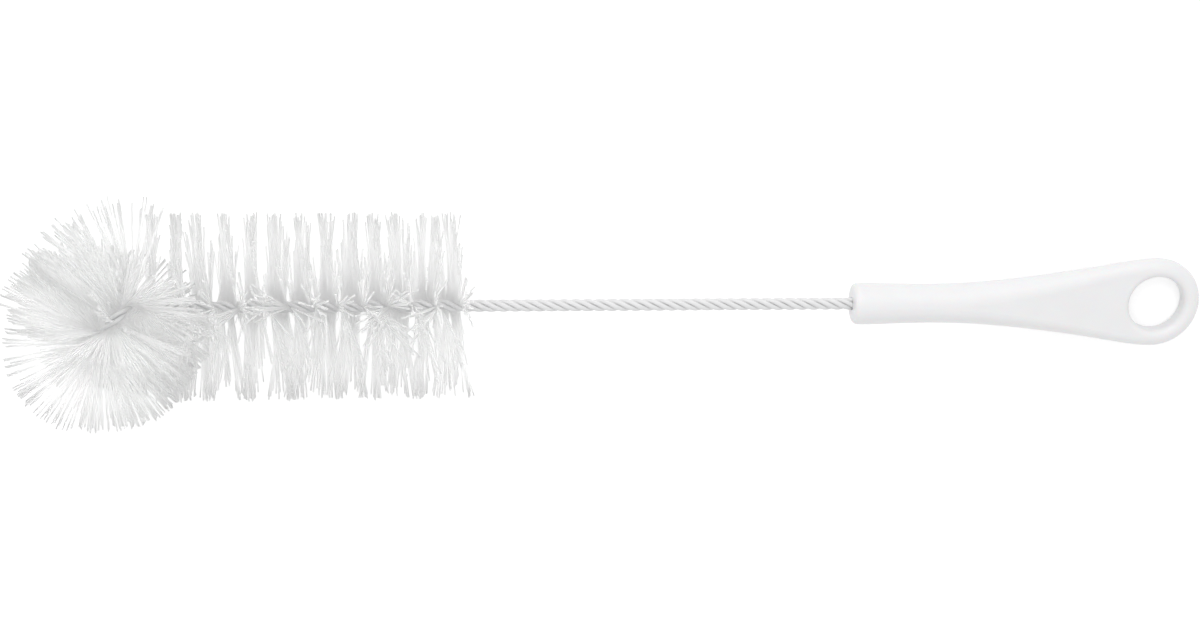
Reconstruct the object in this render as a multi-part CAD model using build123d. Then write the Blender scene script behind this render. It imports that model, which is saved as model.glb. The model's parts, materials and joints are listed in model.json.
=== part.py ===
from build123d import *
import math
import os

# Laboratory bottle brush, in millimetres. It is modelled along X in its own axes, head first and handle
# last, with the handle's flat side up, and is then laid on the floor as it comes to rest.

# Overall layout along the brush, measured from the tip of the head.
brush_length = 400.0
handle_length = 120.4
barrel_end = 149.5

# Bristles: one row gripped between the wires, so it leaves them on two opposite sides and turns with them.
barrel_radius = 30.7
ball_radius = 38.5
head_split = 57.5
split_gap = 0.6
sheet_thickness = 0.85
ball_sheet_thickness = 1.0
ball_sheets = 6
bristle_clearance = 0.3

# Four coated wires twisted together, right-handed. At the head they curl over into one small loop.
strand_count = 4
strand_diameter = 1.6
strand_helix_radius = 1.31
twist_lead = 16.0
front_row_position = 100.7
front_row_angle = 70.0
side_bend_radius = 9.0
side_bend_angle = 54.0
loop_radius = 9.0
loop_angle = 255.0
runs_per_turn = 12
run_share_for_arc = 0.45
head_roll = 20.0

# Moulded handle: a round collar that flattens into an eye to hang it by. Each flare step is a share of
# the way from the waist to the eye, and how much of the widening and of the thinning is done there.
collar_diameter = 13.6
collar_rounding = 2.0
waist_diameter = 12.8
waist_distance = 28.0
flat_start = 0.4
eye_diameter = 31.0
eye_thickness = 7.2
eye_hole_diameter = 19.0
eye_rim_rounding = 2.3
socket_depth = 45.0
socket_clearance = 0.12
socket_end_clearance = 0.4
flare_steps = [(0, 0, 0), (0.21, 0.08, 0.1), (0.43, 0.28, 0.36), (0.66, 0.57, 0.75)]
flare_steps += [(0.83, 0.83, 1), (0.92, 0.955, 1), (1, 1, 1)]

core_radius = strand_helix_radius + strand_diameter / 2
handle_start = brush_length - handle_length
eye_position = brush_length - eye_diameter / 2
socket_end = handle_start + socket_depth
wire_end = socket_end - socket_end_clearance
loop_center_x = ball_radius
curl_start = loop_center_x + side_bend_radius * math.sin(math.radians(side_bend_angle))


def row_angle(x):
    """Angle of the bristle row about the brush at a place along it, from +Y towards +Z."""
    return front_row_angle + 360 * (x - front_row_position) / twist_lead


def bend(frame, towards, radius, angle):
    """Carries a frame (place, heading, two side vectors) round an arc that turns towards a side."""
    place, heading, side_a, side_b = frame
    axis = Axis((0, 0, 0), heading.cross(towards))
    center = place + towards * radius
    turned = [v.rotate(axis, angle) for v in (heading, side_a, side_b)]
    return (center - (towards * radius).rotate(axis, angle), *turned)


def up_the_picture():
    """Direction across the brush in which the side bend leans away, turned with the head."""
    return Vector(0, 1, 0).rotate(Axis.X, -head_roll)


def out_of_the_head():
    """Direction across the brush towards which the loop stands up, turned with the head."""
    return Vector(0, 0, 1).rotate(Axis.X, -head_roll)


def curl_frame(distance):
    """Frame of the twisted core at a distance along its curl: first the side bend, then the loop."""
    start = (Vector(curl_start, 0, 0), Vector(-1, 0, 0), Vector(0, 1, 0), Vector(0, 0, 1))
    first_length = math.radians(side_bend_angle) * side_bend_radius
    first = min(distance, first_length)
    frame = bend(start, -up_the_picture(), side_bend_radius, math.degrees(first / side_bend_radius))
    if distance <= first_length:
        return frame
    rest = math.degrees((distance - first_length) / loop_radius)
    return bend(frame, out_of_the_head(), loop_radius, rest)


def curl_length():
    return math.radians(side_bend_angle) * side_bend_radius + math.radians(loop_angle) * loop_radius


def strand_point(index, distance):
    """Middle of one strand at a distance along the core, which is straight where this is negative."""
    place, _, side_a, side_b = curl_frame(max(distance, 0))
    turn = math.radians(row_angle(curl_start - distance) + 45 + 360 * index / strand_count)
    offset = (side_a * math.cos(turn) + side_b * math.sin(turn)) * strand_helix_radius
    return place + offset + Vector(max(-distance, 0), 0, 0)


def strand_path(index):
    """Short runs joined by tangent arcs, from the bottom of the socket to the end of the curl."""
    straight = wire_end - curl_start
    length = straight + curl_length()
    steps = round(length / twist_lead * runs_per_turn)
    points = [strand_point(index, length * i / steps - straight) for i in range(steps + 1)]
    radii = []
    for before, corner, after in zip(points, points[1:], points[2:]):
        arriving, leaving = corner - before, after - corner
        turn = math.radians(arriving.get_angle(leaving))
        radii.append(run_share_for_arc * min(arriving.length, leaving.length) / math.tan(turn / 2))
    return FilletPolyline(*points, radius=radii)


def core_wire(index):
    """One of the wires, from the bottom of the handle's socket through the head and round its curl."""
    path = strand_path(index)
    start = Plane(origin=path @ 0, z_dir=path % 0)
    wire = sweep(start * Circle(strand_diameter / 2), path=path)
    expected = path.length * math.pi * strand_diameter**2 / 4
    print("wire", index + 1, "volume", round(wire.volume, 2), "of", round(expected, 2))
    return wire


def core_channel():
    """Room for the curled core inside the ball, with the bristles' clearance around the wires."""
    radius = core_radius + bristle_clearance
    start = (Vector(curl_start, 0, 0), Vector(-1, 0, 0), Vector(0, 1, 0), Vector(0, 0, 1))
    room = Pos(curl_start, 0, 0) * Rot(0, 90, 0) * Cylinder(
        radius, head_split, align=(Align.CENTER, Align.CENTER, Align.MIN)
    )
    for towards, bend_radius, angle in (
        (-up_the_picture(), side_bend_radius, side_bend_angle),
        (out_of_the_head(), loop_radius, loop_angle),
    ):
        place, heading = start[0], start[1]
        center = place + towards * bend_radius
        arc_plane = Plane(origin=center, x_dir=-towards, z_dir=heading.cross(towards))
        arc = arc_plane * CenterArc((0, 0), bend_radius, 0, angle)
        room += sweep(Plane(origin=place, z_dir=heading) * Circle(radius), path=arc)
        room += Pos(*place) * Sphere(radius)
        start = bend(start, towards, bend_radius, angle)
    return room + Pos(*start[0]) * Sphere(radius)


def loop_center():
    frame = curl_frame(math.radians(side_bend_angle) * side_bend_radius)
    return frame[0] + out_of_the_head() * loop_radius, frame[1]


def ball_bristles():
    """Bristles around the loop: thin sheets that all pass through the loop's own axis."""
    center, heading = loop_center()
    loop_axis = heading.cross(out_of_the_head())
    sheets = None
    for index in range(ball_sheets):
        facing = heading.rotate(Axis((0, 0, 0), loop_axis), 180 * index / ball_sheets)
        plane = Plane(origin=center, x_dir=loop_axis, z_dir=facing)
        disc = plane * Cylinder(ball_radius, ball_sheet_thickness)
        sheets = disc if sheets is None else sheets + disc
    room = Pos(head_split - split_gap, 0, 0) * Box(
        brush_length, brush_length, brush_length, align=(Align.MIN, Align.CENTER, Align.CENTER)
    )
    return sheets - room - core_channel()


def barrel_bristles():
    """The two sides of the twisted row along the straight core, as thin turning sheets."""
    root = core_radius + bristle_clearance
    share = 360 * sheet_thickness / twist_lead
    length = barrel_end - head_split
    path = Line((head_split, 0, 0), (barrel_end, 0, 0))
    guide = Pos(head_split, 0, 0) * Rot(0, 90, 0) * Helix(twist_lead, length, barrel_radius)
    sides = []
    for side in (0, 180):
        start = row_angle(head_split) + side - share / 2
        arc_out = CenterArc((0, 0), barrel_radius, start, share)
        arc_in = CenterArc((0, 0), root, start, share)
        edges = [arc_out, arc_in, Line(arc_in @ 0, arc_out @ 0), Line(arc_in @ 1, arc_out @ 1)]
        profile = Plane(origin=(head_split, 0, 0), x_dir=(0, 1, 0), z_dir=(1, 0, 0)) * make_face(edges)
        sides.append(sweep(profile, path=path, binormal=guide))
    return Compound(children=sides)


def handle_section(distance, width, thickness):
    """Cross-section of the grip: flat above and below, fully rounded at its two edges."""
    plane = Plane(origin=(handle_start + distance, 0, 0), x_dir=(0, 1, 0), z_dir=(1, 0, 0))
    return plane * SlotOverall(width + flat_start, thickness)


def handle_blank():
    """Grip without its holes: round at the collar, slim at the waist, flat and wide at the eye."""
    to_eye = eye_position - handle_start
    flare = to_eye - waist_distance
    widen = eye_diameter - flat_start - waist_diameter
    thin = waist_diameter - eye_thickness
    middle_diameter = (collar_diameter + waist_diameter) / 2
    stations = [(0, collar_diameter, collar_diameter), (waist_distance / 2, middle_diameter, middle_diameter)]
    for share, widening, thinning in flare_steps:
        width = waist_diameter + widen * widening
        stations.append((waist_distance + flare * share, width, waist_diameter - thin * thinning))
    grip = loft([handle_section(*station) for station in stations])
    grip = fillet(grip.faces().sort_by(Axis.X)[0].edges(), collar_rounding)
    end_plane = Plane(origin=(eye_position, 0, 0), x_dir=(0, 1, 0), z_dir=(1, 0, 0))
    half = SlotOverall(eye_diameter, eye_thickness) & Rectangle(
        eye_diameter, eye_thickness, align=(Align.MIN, Align.CENTER)
    )
    return grip + revolve(end_plane * half, Axis((eye_position, 0, 0), (0, 0, -1)), 180)


def eye_hole():
    """The hole through the eye, with its two rims rounded over."""
    radius = eye_hole_diameter / 2
    wall = eye_thickness / 2 - eye_rim_rounding
    flared = radius + eye_rim_rounding
    above = eye_thickness
    outline = [
        Line((0, 0), (radius, 0)),
        Line((radius, 0), (radius, wall)),
        CenterArc((flared, wall), eye_rim_rounding, 90, 90),
        Line((flared, wall + eye_rim_rounding), (flared, above)),
        Line((flared, above), (0, above)),
        Line((0, above), (0, 0)),
    ]
    upper = revolve(Plane.XZ * make_face(outline), Axis.Z)
    return Pos(eye_position, 0, 0) * (upper + mirror(upper, Plane.XY))


def handle():
    """The moulded handle with its eye and the blind socket that holds the wires."""
    socket = Pos(handle_start, 0, 0) * Rot(0, 90, 0) * Cylinder(
        core_radius + socket_clearance, socket_depth, align=(Align.CENTER, Align.CENTER, Align.MIN)
    )
    return handle_blank() - socket - eye_hole()


def resting_tilt():
    """Angle at which the brush lies on the end of its barrel and on the end of its eye."""
    drop = barrel_radius - eye_thickness / 2
    return math.degrees(math.asin(drop / (eye_position - barrel_end)))


os.makedirs("parts", exist_ok=True)
pieces = {"handle": handle(), "barrel_bristles": barrel_bristles(), "ball_bristles": ball_bristles()}
for index in range(strand_count):
    pieces[f"core_wire_{index + 1}"] = core_wire(index)

lying = Rot(0, resting_tilt(), 0)
box = Compound(children=[lying * piece for piece in pieces.values()]).bounding_box()
to_floor = Pos(-(box.min.X + box.max.X) / 2, -(box.min.Y + box.max.Y) / 2, -box.min.Z)
for name, piece in pieces.items():
    export_step(to_floor * lying * piece, f"parts/{name}.step")
print("resting tilt", round(resting_tilt(), 3), "box", box.size)
print("start of the brush", (to_floor * lying).position)
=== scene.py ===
import json
import math
import random

import bpy
from mathutils import Matrix, Vector


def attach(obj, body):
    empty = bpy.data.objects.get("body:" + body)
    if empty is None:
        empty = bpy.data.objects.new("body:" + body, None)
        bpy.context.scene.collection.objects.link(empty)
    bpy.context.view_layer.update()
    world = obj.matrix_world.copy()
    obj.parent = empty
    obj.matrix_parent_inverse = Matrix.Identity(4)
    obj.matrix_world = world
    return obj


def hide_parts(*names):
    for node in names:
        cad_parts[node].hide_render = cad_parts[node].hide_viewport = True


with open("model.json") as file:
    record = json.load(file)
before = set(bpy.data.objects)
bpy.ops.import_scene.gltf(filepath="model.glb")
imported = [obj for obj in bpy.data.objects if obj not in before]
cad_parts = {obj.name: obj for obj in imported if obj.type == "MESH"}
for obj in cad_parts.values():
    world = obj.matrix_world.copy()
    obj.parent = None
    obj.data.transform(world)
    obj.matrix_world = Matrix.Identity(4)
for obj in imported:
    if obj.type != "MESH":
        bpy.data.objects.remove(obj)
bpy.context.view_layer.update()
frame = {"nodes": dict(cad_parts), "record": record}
mm = 0.001

# The brush's own axes, from the eye's hole: X runs from the head to the handle, Z out of the flat eye.
brush = {
    "eyeAt": 0.3845,  # from the head's tip to the middle of the eye
    "barrelEnd": 0.1495,
    "headSplit": 0.0575,  # where the barrel's filaments end and the ball's begin
    "twistLead": 0.016,  # length of one turn
    "rowAt": 0.1007,  # where the row of bristles points along rowAngle
    "rowAngle": 70.0,
    "bendRadius": 0.009,
    "bendAngle": 54.0,
    "loopRadius": 0.009,
    "loopAngle": 255.0,
    "loopAt": 0.0385,  # where the bend ends and the loop at the head begins
    "headRoll": 20.0,
}
eye = frame["record"]["mounts"][0]
flatUp = Vector(eye["axis"]).normalized()
across = Vector((0, 1, 0))
along = across.cross(flatUp).normalized()
brushStart = Vector(eye["pos_m"]) - along * brush["eyeAt"]
toWorld = Matrix((along, across, flatUp)).transposed()
print("frame loaded, brush starts at", tuple(round(v, 4) for v in brushStart))


def linearColor(hexColor):
    channels = [int(hexColor[i : i + 2], 16) / 255 for i in (1, 3, 5)]
    return [c / 12.92 if c < 0.04045 else ((c + 0.055) / 1.055) ** 2.4 for c in channels] + [1.0]


def addNode(tree, kind, settings=None, links=None):
    node = tree.nodes.new(kind)
    for name, value in (settings or {}).items():
        if name in node.inputs and not hasattr(type(node), name):
            node.inputs[name].default_value = value
        else:
            setattr(node, name, value)
    for name, source in (links or {}).items():
        tree.links.new(source, node.inputs[name])
    return node


def newMaterial(name):
    material = bpy.data.materials.new(name)
    material.use_nodes = True
    material.node_tree.nodes.clear()
    return material, material.node_tree


# Polypropylene, injection-moulded in a polished tool: milky white with a soft satin shine,
# a barely uneven surface and a little light carried inside it.
moulded = {
    "color": "#ECECED",
    "shade": "#E8E8E9",
    "roughness": 0.36,
    "ior": 1.49,
    "milky": 0.15,
    "milkyDepth": 0.002,
    "waveMm": 9.0,  # slow unevenness left by shrinkage
    "waveDepth": 0.0004,
    "waveStrength": 0.12,
    "grainMm": 0.35,  # fine mould texture
    "grainDepth": 0.00003,
    "grainStrength": 0.05,
}


def mouldedPolypropylene():
    material, tree = newMaterial("mouldedPolypropylene")
    place = addNode(tree, "ShaderNodeTexCoord").outputs["Object"]
    wave = addNode(
        tree, "ShaderNodeTexNoise", {"Scale": 1000 / moulded["waveMm"], "Detail": 1.0}, {"Vector": place}
    )
    grain = addNode(
        tree, "ShaderNodeTexNoise", {"Scale": 1000 / moulded["grainMm"], "Detail": 2.0}, {"Vector": place}
    )
    tint = addNode(tree, "ShaderNodeValToRGB", links={"Fac": wave.outputs["Fac"]})
    tint.color_ramp.elements[0].color = linearColor(moulded["shade"])
    tint.color_ramp.elements[1].color = linearColor(moulded["color"])
    sink = addNode(
        tree,
        "ShaderNodeBump",
        {"Strength": moulded["waveStrength"], "Distance": moulded["waveDepth"]},
        {"Height": wave.outputs["Fac"]},
    )
    bump = addNode(
        tree,
        "ShaderNodeBump",
        {"Strength": moulded["grainStrength"], "Distance": moulded["grainDepth"]},
        {"Height": grain.outputs["Fac"], "Normal": sink.outputs["Normal"]},
    )
    shader = addNode(
        tree,
        "ShaderNodeBsdfPrincipled",
        {
            "Roughness": moulded["roughness"],
            "IOR": moulded["ior"],
            "Subsurface Weight": moulded["milky"],
            "Subsurface Scale": moulded["milkyDepth"],
        },
        {"Base Color": tint.outputs["Color"], "Normal": bump.outputs["Normal"]},
    )
    addNode(tree, "ShaderNodeOutputMaterial", links={"Surface": shader.outputs["BSDF"]})
    return material


# Steel wire with a thin coat of white nylon: smooth and slightly waxy, with faint greyer patches.
coated = {
    "color": "#E8E8E8",
    "shade": "#D9D9DA",
    "roughness": 0.4,
    "ior": 1.53,
    "spotMm": 2.5,
    "spotDepth": 0.0001,
    "spotStrength": 0.1,
}


def nylonCoatedWire():
    material, tree = newMaterial("nylonCoatedWire")
    place = addNode(tree, "ShaderNodeTexCoord").outputs["Object"]
    spots = addNode(
        tree, "ShaderNodeTexNoise", {"Scale": 1000 / coated["spotMm"], "Detail": 3.0}, {"Vector": place}
    )
    tint = addNode(tree, "ShaderNodeValToRGB", links={"Fac": spots.outputs["Fac"]})
    tint.color_ramp.elements[0].color = linearColor(coated["shade"])
    tint.color_ramp.elements[1].color = linearColor(coated["color"])
    bump = addNode(
        tree,
        "ShaderNodeBump",
        {"Strength": coated["spotStrength"], "Distance": coated["spotDepth"]},
        {"Height": spots.outputs["Fac"]},
    )
    shader = addNode(
        tree,
        "ShaderNodeBsdfPrincipled",
        {"Roughness": coated["roughness"], "IOR": coated["ior"]},
        {"Base Color": tint.outputs["Color"], "Normal": bump.outputs["Normal"]},
    )
    addNode(tree, "ShaderNodeOutputMaterial", links={"Surface": shader.outputs["BSDF"]})
    return material


# Extruded nylon filament, cut to length: milky and half clear, a little different from one to the next.
filamentFinish = {
    "color": "#FFFFFF",
    "shade": "#FAFAFA",
    "shadeBelow": 0.3,
    "colorAbove": 0.6,
    "spotMm": 1.2,
    "roughness": 0.4,
    "ior": 1.53,
    "clear": 0.8,
    "through": 0.2,  # share of the light that is scattered on through
    "paintedGlow": 0.1,  # painted light: a faint glow that lifts the filaments' shade, standing in for the light that a dense brush carries along inside its filaments
}


def nylonFilament():
    material, tree = newMaterial("nylonFilament")
    place = addNode(tree, "ShaderNodeTexCoord").outputs["Object"]
    spots = addNode(
        tree,
        "ShaderNodeTexNoise",
        {"Scale": 1000 / filamentFinish["spotMm"], "Detail": 2.0},
        {"Vector": place},
    )
    tint = addNode(tree, "ShaderNodeValToRGB", links={"Fac": spots.outputs["Fac"]})
    tint.color_ramp.elements[0].position = filamentFinish["shadeBelow"]
    tint.color_ramp.elements[1].position = filamentFinish["colorAbove"]
    tint.color_ramp.elements[0].color = linearColor(filamentFinish["shade"])
    tint.color_ramp.elements[1].color = linearColor(filamentFinish["color"])
    shader = addNode(
        tree,
        "ShaderNodeBsdfPrincipled",
        {
            "Roughness": filamentFinish["roughness"],
            "IOR": filamentFinish["ior"],
            "Transmission Weight": filamentFinish["clear"],
            # painted light: the filaments glow faintly, so that the shade deep in the brush comes out
            # paler
            "Emission Color": linearColor("#FFFFFF"),
            "Emission Strength": filamentFinish["paintedGlow"],
        },
        {"Base Color": tint.outputs["Color"]},
    )
    through = addNode(tree, "ShaderNodeBsdfTranslucent", links={"Color": tint.outputs["Color"]})
    both = addNode(tree, "ShaderNodeMixShader", links={1: shader.outputs[0], 2: through.outputs[0]})
    both.inputs[0].default_value = filamentFinish["through"]
    addNode(tree, "ShaderNodeOutputMaterial", links={"Surface": both.outputs[0]})
    return material


def dress(piece, material):
    piece.data.materials.clear()
    piece.data.materials.append(material)
    for face in piece.data.polygons:
        face.material_index = 0


wireMaterial = nylonCoatedWire()
dress(frame["nodes"]["handle"], mouldedPolypropylene())
for name, node in frame["nodes"].items():
    if name.startswith("core_wire"):
        dress(node, wireMaterial)
print("handle and wires dressed")


def bend(place, vectors, towards, radius, angle):
    # carries a place and its vectors round an arc on which the first, the heading, turns towards a side
    turn = Matrix.Rotation(angle, 3, vectors[0].cross(towards))
    center = place + towards * radius
    return center - turn @ (towards * radius), [turn @ v for v in vectors]


rolled = Matrix.Rotation(math.radians(-brush["headRoll"]), 3, "X")
bendAway = rolled @ Vector((0, -1, 0))
loopUp = rolled @ Vector((0, 0, 1))
bendLength = math.radians(brush["bendAngle"]) * brush["bendRadius"]
curlLength = bendLength + math.radians(brush["loopAngle"]) * brush["loopRadius"]
curlStart = brush["loopAt"] + brush["bendRadius"] * math.sin(math.radians(brush["bendAngle"]))


def coreFrame(distance):
    # distance runs towards the head from where the core starts to curl, and is negative in the barrel
    place = Vector((curlStart - min(distance, 0), 0, 0))
    vectors = [Vector((-1, 0, 0)), Vector((0, 1, 0)), Vector((0, 0, 1))]
    if distance > 0:
        angle = min(distance, bendLength) / brush["bendRadius"]
        place, vectors = bend(place, vectors, bendAway, brush["bendRadius"], angle)
    if distance > bendLength:
        angle = (distance - bendLength) / brush["loopRadius"]
        place, vectors = bend(place, vectors, loopUp, brush["loopRadius"], angle)
    return place, vectors


# Rows of filament, gripped between the wires on two opposite sides of the core. Lengths are in metres,
# and a lean is how far a filament goes along the core for each metre that it goes out from it.
bristle = {
    "diameter": 0.00064,
    "length": 0.0306,
    "rootOut": 0.0005,  # where they start, from the middle of the core
    "perMm": 8.5,  # filaments on each side for a millimetre of core
    "ballDensity": 1.6,  # how many times as close they stand in the ball
    "tuft": 8,  # filaments that lean together
    "tuftLean": 0.042,
    "lean": 0.013,
    "crumple": 2.2,  # how much more they lean on the worn side, where out.y is under the next value
    "crumpledBelow": -0.2,
    "splay": 4.0,  # how much more the barrel's lean on top, where out.z is over the next value
    "splayAbove": 0.85,
    "firstRun": 0.012,  # beside the ball, along this much core, the barrel's filaments spread to meet it
    "firstLean": 0.13,
    "endPlay": 0.0015,  # how far their tips may pass the other end of the barrel
    "longer": 0.08,  # mean share by which the ball's are longer, where way.y is over the next value
    "longerAbove": 0.3,
    "bow": 0.0008,
    "ragged": 0.0011,
    "tipFlare": 0.008,  # along this much core at its end they lean back, by up to the next value
    "tipLean": 0.35,
    "clearedBefore": 0.012,  # from here to the bend's end none stands on the side where the loop lies,
    "clearedSide": 0.35,  # which is where out points along loopUp by more than this
    "segments": 3,
    "sides": 4,
    "barrelSeed": 11,
    "ballSeed": 12,
}
facesEach = bristle["segments"] * bristle["sides"] + 2


def filament(verts, faces, root, way, bow, length):
    sideways = way.orthogonal().normalized()
    other = way.cross(sideways)
    sides = bristle["sides"]
    radius = bristle["diameter"] / 2
    first = len(verts)
    for step in range(bristle["segments"] + 1):
        share = step / bristle["segments"]
        middle = root + way * (length * share) + bow * share * share
        for side in range(sides):
            angle = 2 * math.pi * side / sides
            verts.append(middle + (sideways * math.cos(angle) + other * math.sin(angle)) * radius)
    for step in range(bristle["segments"]):
        low = first + step * sides
        for side in range(sides):
            after = (side + 1) % sides
            faces.append((low + side, low + after, low + sides + after, low + sides + side))
    faces.append(tuple(first + side for side in reversed(range(sides))))
    faces.append(tuple(first + bristle["segments"] * sides + side for side in range(sides)))


def leanAlong(chance, out, distance, start, end, tuftLean):
    # more than 0 leans towards the head
    straight = end < 0
    loose = bristle["crumple"] if out.y < bristle["crumpledBelow"] else 1
    if straight and out.z > bristle["splayAbove"]:
        loose = bristle["splay"]
    atTip = max(0, 1 - (curlLength - distance) / bristle["tipFlare"])
    lean = (tuftLean + chance.gauss(0, bristle["lean"])) * loose
    lean -= atTip * chance.uniform(0, bristle["tipLean"])
    atBall = max(0, 1 - (end - distance) / bristle["firstRun"]) if straight else 0
    lean += atBall * chance.uniform(0, bristle["firstLean"])
    if straight:
        lean = max(lean, (start - distance - bristle["endPlay"]) / bristle["length"])
    return lean


def bristleRows(start, end, perMm, seed):
    # start and end are distances as in coreFrame
    chance = random.Random(seed)
    verts, faces = [], []
    count = int((end - start) / mm * perMm)
    tuftLeans = {}
    for index in range(count):
        distance = start + (end - start) * (index + chance.random()) / count
        place, (heading, sideA, sideB) = coreFrame(distance)
        turn = brush["rowAngle"] + 360 * (curlStart - distance - brush["rowAt"]) / brush["twistLead"]
        underLoop = -bristle["clearedBefore"] < distance < bendLength
        for side in (0, 1):
            tuft = (index // bristle["tuft"], side)
            if tuft not in tuftLeans:
                tuftLeans[tuft] = [chance.gauss(0, bristle["tuftLean"]) for _ in range(2)]
            twistwise, lengthwise = tuftLeans[tuft]
            angle = math.radians(turn + 180 * side) + twistwise + chance.gauss(0, bristle["lean"])
            out = sideA * math.cos(angle) + sideB * math.sin(angle)
            lean = leanAlong(chance, out, distance, start, end, lengthwise)
            way = (out + heading * lean).normalized()
            around = heading.cross(out)
            bow = around * chance.gauss(0, bristle["bow"]) + heading * chance.gauss(0, bristle["bow"])
            length = bristle["length"] - abs(chance.gauss(0, bristle["ragged"]))
            if distance > 0 and way.y > bristle["longerAbove"]:
                length *= 1 + bristle["longer"] * chance.uniform(0, 2)
            if not (underLoop and out.dot(loopUp) > bristle["clearedSide"]):
                filament(verts, faces, place + out * bristle["rootOut"], way, bow, length)
    return verts, faces


def bristlePiece(name, node, verts, faces):
    mesh = bpy.data.meshes.new(name)
    mesh.from_pydata([brushStart + toWorld @ v for v in verts], [], faces)
    smooth = [index % facesEach < facesEach - 2 for index in range(len(faces))]
    mesh.polygons.foreach_set("use_smooth", smooth)
    mesh.update()
    piece = bpy.data.objects.new(name, mesh)
    bpy.context.scene.collection.objects.link(piece)
    dress(piece, filamentMaterial)
    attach(piece, "root")
    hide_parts(node)
    print(name, len(faces) // facesEach, "filaments")


filamentMaterial = nylonFilament()
barrelStart = curlStart - brush["barrelEnd"]
split = curlStart - brush["headSplit"]
barrelRows = bristleRows(barrelStart, split, bristle["perMm"], bristle["barrelSeed"])
bristlePiece("barrelBristles", "barrel_bristles", *barrelRows)
ballPerMm = bristle["perMm"] * bristle["ballDensity"]
ballRows = bristleRows(split, curlLength, ballPerMm, bristle["ballSeed"])
bristlePiece("ballBristles", "ball_bristles", *ballRows)


# Pale studio table that reads as pure white, with the brush's faint shadow on it.
studio = {
    "tableSize": 6.0,
    "tableColor": "#E6E6E6",
    "lift": 0.4,  # what the table adds where it is seen, so that only the shadow stays under white
    "skyStrength": 0.86,  # with the key light, a colour renders about as it is written
    "keyPower": 4.4,
    "keySize": 0.9,
    "keyAt": (-0.1, 0.9, 0.75),
}


def seenDirectly(tree):
    # 1 where the camera sees a surface, or sees it in a reflection or through a filament
    path = addNode(tree, "ShaderNodeLightPath").outputs
    seen = addNode(tree, "ShaderNodeMath", {"operation": "MAXIMUM"}, {0: path["Is Camera Ray"]})
    tree.links.new(path["Is Glossy Ray"], seen.inputs[1])
    passed = addNode(tree, "ShaderNodeMath", {"operation": "MAXIMUM"}, {0: seen.outputs[0]})
    tree.links.new(path["Is Transmission Ray"], passed.inputs[1])
    return passed.outputs[0]


def studioTable():
    material, tree = newMaterial("whiteStudioTable")
    glow = addNode(tree, "ShaderNodeMath", {"operation": "MULTIPLY"}, {0: seenDirectly(tree)})
    glow.inputs[1].default_value = studio["lift"]
    lift = addNode(tree, "ShaderNodeEmission", links={"Strength": glow.outputs[0]})
    lift.inputs["Color"].default_value = linearColor("#FFFFFF")
    matt = addNode(tree, "ShaderNodeBsdfDiffuse", {"Color": linearColor(studio["tableColor"])})
    both = addNode(tree, "ShaderNodeAddShader", links={0: matt.outputs[0], 1: lift.outputs[0]})
    addNode(tree, "ShaderNodeOutputMaterial", links={"Surface": both.outputs[0]})
    bpy.ops.object.select_all(action="DESELECT")
    bpy.ops.mesh.primitive_plane_add(size=studio["tableSize"], location=(0, 0, 0))
    table = bpy.context.object
    table.name = "studioTable"
    table.data.materials.append(material)


def studioLight():
    world = bpy.data.worlds.new("softSky")
    bpy.context.scene.world = world
    world.use_nodes = True
    sky = world.node_tree.nodes["Background"]
    sky.inputs["Color"].default_value = linearColor("#FFFFFF")
    tree = world.node_tree
    strength = addNode(tree, "ShaderNodeMath", {"operation": "MULTIPLY_ADD"}, {0: seenDirectly(tree)})
    strength.inputs[1].default_value = 1 - studio["skyStrength"]
    strength.inputs[2].default_value = studio["skyStrength"]
    tree.links.new(strength.outputs[0], sky.inputs["Strength"])
    lamp = bpy.data.lights.new("keyLight", "AREA")
    lamp.energy = studio["keyPower"]
    lamp.size = studio["keySize"]
    key = bpy.data.objects.new("keyLight", lamp)
    key.location = studio["keyAt"]
    key.rotation_euler = (-key.location).to_track_quat("-Z", "Y").to_euler()
    bpy.context.scene.collection.objects.link(key)


# The camera looks down at the brush, which lies level across the frame.
view = {
    "distance": 0.75,
    "lens": 67.9,
    "sensor": 36.0,
    "tilt": 20.0,  # degrees from straight above, towards +Y
    "rise": 0.37,  # degrees by which the brush rises across the frame, towards its handle
    "lookAt": 0.1947,  # from the head's tip
    "below": 0.0033,
}


def addCamera():
    tilt = math.radians(view["tilt"])
    back = Vector((0, math.sin(tilt), math.cos(tilt)))
    shown = (along - back * along.dot(back)).normalized()
    right = Matrix.Rotation(-math.radians(view["rise"]), 3, back) @ shown
    up = back.cross(right)
    target = brushStart + along * view["lookAt"] - up * view["below"]
    lens = bpy.data.cameras.new("studioCamera")
    lens.lens = view["lens"]
    lens.sensor_width = view["sensor"]
    camera = bpy.data.objects.new("studioCamera", lens)
    turn = Matrix((right, up, back)).transposed().to_4x4()
    camera.matrix_world = Matrix.Translation(target + back * view["distance"]) @ turn
    bpy.context.scene.collection.objects.link(camera)
    bpy.context.scene.camera = camera


studioTable()
studioLight()
addCamera()
bpy.context.scene.view_settings.view_transform = "Standard"
print("studio ready")
